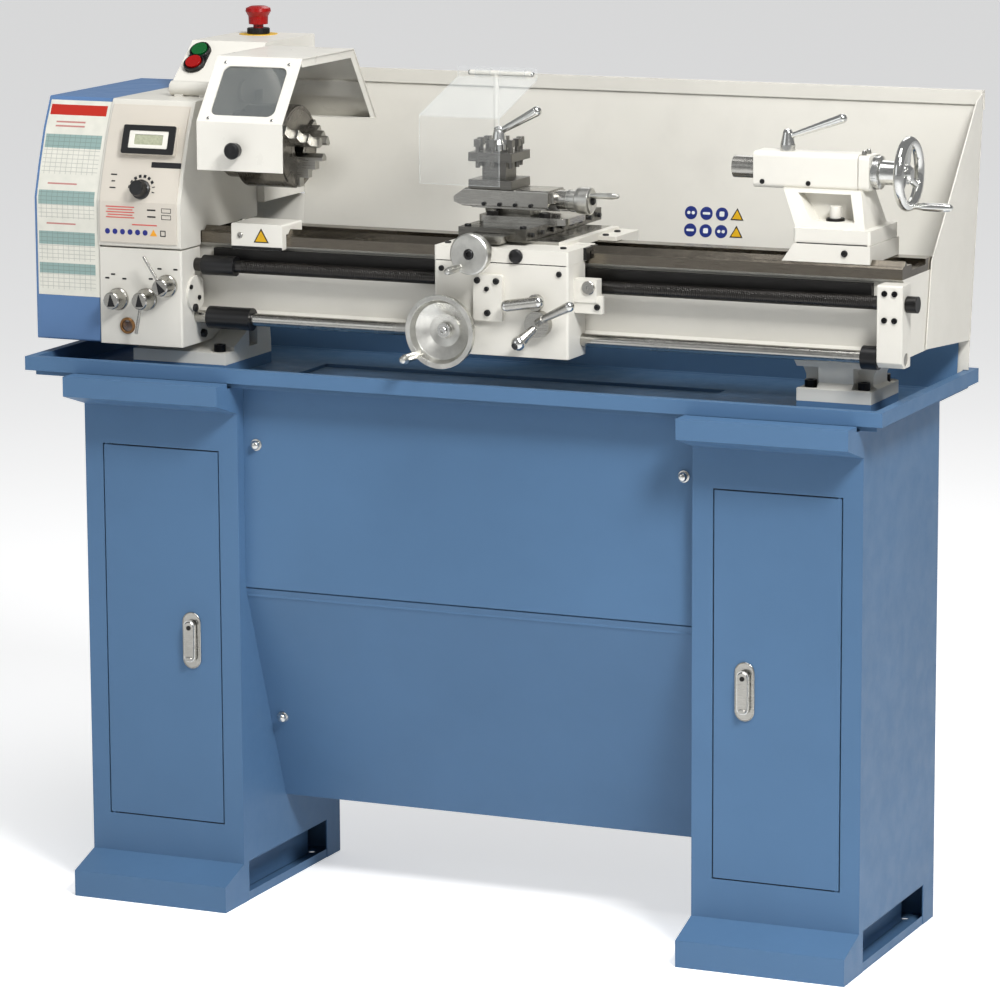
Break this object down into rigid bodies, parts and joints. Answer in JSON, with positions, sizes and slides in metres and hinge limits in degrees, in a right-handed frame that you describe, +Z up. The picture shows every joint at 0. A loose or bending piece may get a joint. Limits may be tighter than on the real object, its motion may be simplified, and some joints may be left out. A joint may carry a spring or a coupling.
{
  "type": "metal lathe",
  "caption": "Engine lathe on a two-pedestal cabinet stand with chip tray, splash guard, hooded chuck, tool carriage with handwheels, and tailstock.",
  "frame": {"origin": "on the floor at the centre of the floor anchor holes", "axes": "+X towards the tailstock end, +Y to the back of the machine, +Z up"},
  "size_m": [1.413, 0.5263, 1.329],
  "materials": {
    "stand_blue": "satin",
    "head_cream": "satin",
    "cover_blue": "satin",
    "tray_blue": "satin",
    "bed_cream": "painted with ground ways",
    "guard_white": "satin",
    "panel_grey": "printed film",
    "bright_steel": "ground",
    "dark_steel": "turned",
    "chrome_trim": "polished",
    "black_plastic": "moulded",
    "cast_wheel": "turned rim",
    "motor_grey": "cast",
    "belt_rubber": "moulded",
    "clear_shield": "clear",
    "button_green": "moulded",
    "button_red": "moulded"
  },
  "bodies": {
    "machine_base": {"left_cabinet": "stand_blue", "right_cabinet": "stand_blue", "front_panels": "stand_blue", "machine_screws": "dark_steel", "chip_tray": "tray_blue", "bed": "bed_cream", "rack": "dark_steel", "headstock_casting": "head_cream", "feed_gearbox": "head_cream", "control_panel": "panel_grey", "control_cabinet": "guard_white", "spindle_bearings": "bright_steel", "motor": "motor_grey", "drive_belt": "belt_rubber", "change_gear_quadrant": "dark_steel", "backsplash": "head_cream", "leadscrew_bracket": "head_cream", "limit_switch_box": "guard_white", "guard_pivot_tube": "head_cream"},
    "spindle": {"spindle": "bright_steel", "chuck_body": "bright_steel"},
    "chuck_jaw_1": {"chuck_jaw_1": "bright_steel"},
    "chuck_jaw_2": {"chuck_jaw_2": "bright_steel"},
    "chuck_jaw_3": {"chuck_jaw_3": "bright_steel"},
    "motor_pulley": {"motor_pulley": "motor_grey"},
    "idler_gear": {"idler_gear": "dark_steel"},
    "leadscrew": {"leadscrew": "bright_steel"},
    "feed_rod": {"feed_rod": "bright_steel"},
    "gear_cover": {"gear_cover": "cover_blue"},
    "chuck_guard": {"chuck_guard": "guard_white", "guard_window": "clear_shield"},
    "gear_knob_left": {"gear_knob_left": "bright_steel"},
    "gear_knob_middle": {"gear_knob_middle": "bright_steel"},
    "gear_knob_right": {"gear_knob_right": "bright_steel"},
    "speed_knob": {"speed_knob": "black_plastic"},
    "start_button": {"start_button": "button_green"},
    "stop_button": {"stop_button": "button_red"},
    "emergency_stop": {"emergency_stop": "button_red"},
    "carriage": {"saddle": "head_cream", "apron": "head_cream"},
    "carriage_handwheel": {"carriage_handwheel": "cast_wheel"},
    "half_nut_lever": {"half_nut_lever": "bright_steel"},
    "feed_lever": {"feed_lever": "bright_steel"},
    "cross_slide": {"cross_slide": "bright_steel", "shield_arm": "chrome_trim"},
    "cross_slide_handwheel": {"cross_slide_handwheel": "cast_wheel"},
    "compound_base": {"compound_base": "bright_steel"},
    "top_slide": {"top_slide": "bright_steel"},
    "top_slide_handwheel": {"top_slide_handwheel": "cast_wheel"},
    "tool_post": {"tool_post": "dark_steel"},
    "tool_post_lever": {"tool_post_lever": "chrome_trim"},
    "tool_shield": {"tool_shield": "clear_shield"},
    "tailstock": {"tailstock_body": "head_cream"},
    "quill": {"quill": "bright_steel"},
    "tailstock_handwheel": {"tailstock_handwheel": "chrome_trim"},
    "quill_lock_lever": {"quill_lock_lever": "chrome_trim"},
    "left_door": {"left_door": "stand_blue"},
    "right_door": {"right_door": "stand_blue"},
    "left_door_latch": {"left_door_latch": "chrome_trim"},
    "right_door_latch": {"right_door_latch": "chrome_trim"}
  },
  "joints": [
    {"name": "spindle_turn", "type": "hinge", "parent": "machine_base", "child": "spindle", "pos_m": [-0.53, 0.008, 1.143], "axis": [1, 0, 0], "continuous": true},
    {"name": "chuck_jaw_1_slide", "type": "slide", "parent": "spindle", "child": "chuck_jaw_1", "axis": [0, 0.866, 0.5], "range_m": [-0.003, 0.018]},
    {"name": "chuck_jaw_2_slide", "type": "slide", "parent": "spindle", "child": "chuck_jaw_2", "axis": [0, -0.866, 0.5], "range_m": [-0.003, 0.018]},
    {"name": "chuck_jaw_3_slide", "type": "slide", "parent": "spindle", "child": "chuck_jaw_3", "axis": [0, 0, -1], "range_m": [-0.003, 0.018]},
    {"name": "motor_turn", "type": "hinge", "parent": "machine_base", "child": "motor_pulley", "pos_m": [-0.653, 0.196, 1.106], "axis": [1, 0, 0], "continuous": true},
    {"name": "idler_turn", "type": "hinge", "parent": "machine_base", "child": "idler_gear", "pos_m": [-0.62, -0.02224, 1.05505], "axis": [1, 0, 0], "continuous": true},
    {"name": "leadscrew_turn", "type": "hinge", "parent": "machine_base", "child": "leadscrew", "pos_m": [0, -0.077, 0.969], "axis": [1, 0, 0], "continuous": true},
    {"name": "feed_rod_turn", "type": "hinge", "parent": "machine_base", "child": "feed_rod", "pos_m": [0, -0.077, 0.89], "axis": [1, 0, 0], "continuous": true},
    {"name": "gear_cover_swing", "type": "hinge", "parent": "machine_base", "child": "gear_cover", "pos_m": [-0.6, 0.229, 1.03], "axis": [0, 0, 1], "range_deg": [-95, 0]},
    {"name": "chuck_guard_swing", "type": "hinge", "parent": "machine_base", "child": "chuck_guard", "pos_m": [-0.43, 0, 1.2245], "axis": [1, 0, 0], "range_deg": [-60, 0]},
    {"name": "gear_knob_left_turn", "type": "hinge", "parent": "machine_base", "child": "gear_knob_left", "pos_m": [-0.567, -0.125, 0.917], "axis": [0, 1, 0], "range_deg": [-45, 45]},
    {"name": "gear_knob_middle_turn", "type": "hinge", "parent": "machine_base", "child": "gear_knob_middle", "pos_m": [-0.519, -0.125, 0.919], "axis": [0, 1, 0], "range_deg": [-30, 30]},
    {"name": "gear_knob_right_turn", "type": "hinge", "parent": "machine_base", "child": "gear_knob_right", "pos_m": [-0.484, -0.125, 0.941], "axis": [0, 1, 0], "range_deg": [-30, 30]},
    {"name": "speed_knob_turn", "type": "hinge", "parent": "machine_base", "child": "speed_knob", "pos_m": [-0.527, -0.11963, 1.08302], "axis": [0, -0.9584, 0.2855], "range_deg": [-135, 135]},
    {"name": "start_button_press", "type": "slide", "parent": "machine_base", "child": "start_button", "axis": [0, 0.6402, -0.7682], "range_m": [0, 0.003]},
    {"name": "stop_button_press", "type": "slide", "parent": "machine_base", "child": "stop_button", "axis": [0, 0.6402, -0.7682], "range_m": [0, 0.003]},
    {"name": "emergency_stop_press", "type": "slide", "parent": "machine_base", "child": "emergency_stop", "axis": [0, 0, -1], "range_m": [0, 0.005]},
    {"name": "carriage_slide", "type": "slide", "parent": "machine_base", "child": "carriage", "axis": [1, 0, 0], "range_m": [-0.17, 0.23]},
    {"name": "carriage_handwheel_turn", "type": "hinge", "parent": "carriage", "child": "carriage_handwheel", "pos_m": [-0.019, -0.131, 0.903], "axis": [0, 1, 0], "range_deg": [-1531, 2071]},
    {"name": "half_nut_lever_turn", "type": "hinge", "parent": "carriage", "child": "half_nut_lever", "pos_m": [0.126, -0.131, 0.919], "axis": [0, 1, 0], "range_deg": [0, 35]},
    {"name": "feed_lever_turn", "type": "hinge", "parent": "carriage", "child": "feed_lever", "pos_m": [0.124, -0.131, 0.951], "axis": [0, 1, 0], "range_deg": [-20, 25]},
    {"name": "cross_slide_travel", "type": "slide", "parent": "carriage", "child": "cross_slide", "axis": [0, 1, 0], "range_m": [-0.035, 0.05]},
    {"name": "cross_slide_handwheel_turn", "type": "hinge", "parent": "carriage", "child": "cross_slide_handwheel", "pos_m": [0.035, -0.131, 1.021], "axis": [0, 1, 0], "range_deg": [-6301, 9001]},
    {"name": "compound_swivel", "type": "hinge", "parent": "cross_slide", "child": "compound_base", "pos_m": [0.034, 0.008, 1.049], "axis": [0, 0, 1], "range_deg": [-20, 25]},
    {"name": "top_slide_travel", "type": "slide", "parent": "compound_base", "child": "top_slide", "axis": [1, 0, 0], "range_m": [-0.035, 0.035]},
    {"name": "top_slide_handwheel_turn", "type": "hinge", "parent": "top_slide", "child": "top_slide_handwheel", "pos_m": [0.1125, 0.008, 1.082], "axis": [1, 0, 0], "range_deg": [-6301, 6301]},
    {"name": "tool_post_index", "type": "hinge", "parent": "top_slide", "child": "tool_post", "pos_m": [0.002, 0.007, 1.0973], "axis": [0, 0, 1], "range_deg": [0, 270]},
    {"name": "tool_post_lever_turn", "type": "hinge", "parent": "top_slide", "child": "tool_post_lever", "pos_m": [0.002, 0.007, 1.1508], "axis": [0, 0, 1], "range_deg": [0, 40]},
    {"name": "tool_shield_swing", "type": "hinge", "parent": "cross_slide", "child": "tool_shield", "pos_m": [-0.04, 0.088, 1.256], "axis": [1, 0, 0], "range_deg": [-90, 0]},
    {"name": "tailstock_slide", "type": "slide", "parent": "machine_base", "child": "tailstock", "axis": [1, 0, 0], "range_m": [-0.23, 0.04]},
    {"name": "quill_travel", "type": "slide", "parent": "tailstock", "child": "quill", "axis": [1, 0, 0], "range_m": [-0.035, 0.03]},
    {"name": "tailstock_handwheel_turn", "type": "hinge", "parent": "tailstock", "child": "tailstock_handwheel", "pos_m": [0.5865, 0.008, 1.143], "axis": [1, 0, 0], "range_deg": [-4201, 3601]},
    {"name": "quill_lock_turn", "type": "hinge", "parent": "tailstock", "child": "quill_lock_lever", "pos_m": [0.454, 0.008, 1.1693], "axis": [0, 0, 1], "range_deg": [-60, 60]},
    {"name": "left_door_swing", "type": "hinge", "parent": "machine_base", "child": "left_door", "pos_m": [-0.588, -0.132, 0.4085], "axis": [0, 0, 1], "range_deg": [-110, 0]},
    {"name": "right_door_swing", "type": "hinge", "parent": "machine_base", "child": "right_door", "pos_m": [0.588, -0.132, 0.4085], "axis": [0, 0, 1], "range_deg": [0, 110]},
    {"name": "left_latch_turn", "type": "hinge", "parent": "left_door", "child": "left_door_latch", "pos_m": [-0.447, -0.136, 0.405], "axis": [0, 1, 0], "range_deg": [0, 90]},
    {"name": "right_latch_turn", "type": "hinge", "parent": "right_door", "child": "right_door_latch", "pos_m": [0.447, -0.136, 0.405], "axis": [0, 1, 0], "range_deg": [-90, 0]}
  ],
  "couplings": [
    {"joint": "chuck_jaw_2_slide", "follows": "chuck_jaw_1_slide", "ratio": 1},
    {"joint": "chuck_jaw_3_slide", "follows": "chuck_jaw_1_slide", "ratio": 1},
    {"joint": "motor_turn", "follows": "spindle_turn", "ratio": 2.25},
    {"joint": "idler_turn", "follows": "spindle_turn", "ratio": -0.47619},
    {"joint": "leadscrew_turn", "follows": "spindle_turn", "ratio": 0.76923},
    {"joint": "feed_rod_turn", "follows": "spindle_turn", "ratio": 0.33333},
    {"joint": "carriage_handwheel_turn", "follows": "carriage_slide", "rad_per_m": 157.08},
    {"joint": "cross_slide_handwheel_turn", "follows": "cross_slide_travel", "rad_per_m": 3141.6},
    {"joint": "top_slide_handwheel_turn", "follows": "top_slide_travel", "rad_per_m": 3141.6},
    {"joint": "tailstock_handwheel_turn", "follows": "quill_travel", "rad_per_m": 2094.4}
  ]
}
